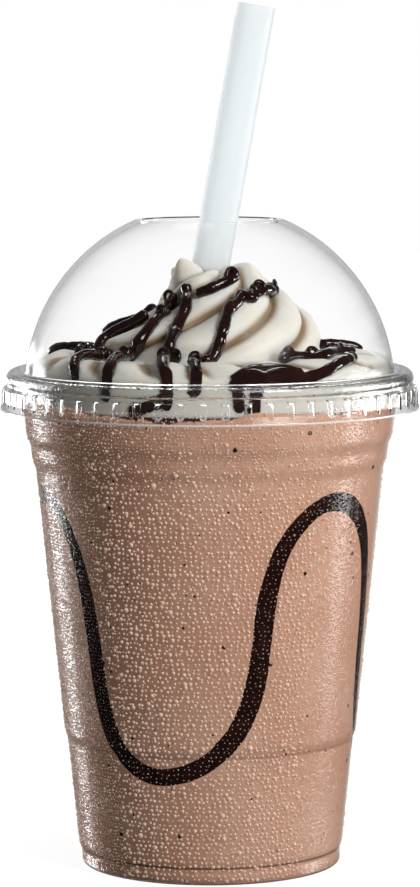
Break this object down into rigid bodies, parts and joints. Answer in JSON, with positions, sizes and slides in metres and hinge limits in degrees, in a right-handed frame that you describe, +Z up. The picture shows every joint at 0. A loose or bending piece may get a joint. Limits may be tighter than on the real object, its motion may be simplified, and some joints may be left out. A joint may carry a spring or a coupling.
{
  "type": "cold drink cup with domed lid and straw",
  "caption": "Clear plastic cold-drink cup with a ribbed dome lid, a leaning straw, a blended chocolate drink, piped cream and poured sauce.",
  "frame": {"origin": "centre of the foot ring at the level of the table, under the middle of the lid's lip", "axes": "+Z up along the cup's axis; the front faces -Y; the straw leans towards +X"},
  "size_m": [0.1024, 0.1024, 0.2109],
  "materials": {
    "cup_plastic": "clear, glossy, beaded with condensation",
    "lid_plastic": "clear, glossy",
    "straw_paper": "smooth satin",
    "drink": "smooth, wet, with fine dark specks",
    "cream": "soft satin",
    "sauce": "wet gloss"
  },
  "bodies": {
    "cup": {"cup": "cup_plastic", "milkshake": "drink", "whipped_cream": "cream", "cream_sauce": "sauce", "wall_sauce": "sauce", "straw": "straw_paper"},
    "lid": {"dome_lid": "lid_plastic"}
  },
  "joints": [
    {"name": "lid_lift", "type": "slide", "parent": "cup", "child": "lid", "axis": [0, 0, 1], "range_m": [0, 0.1]}
  ]
}
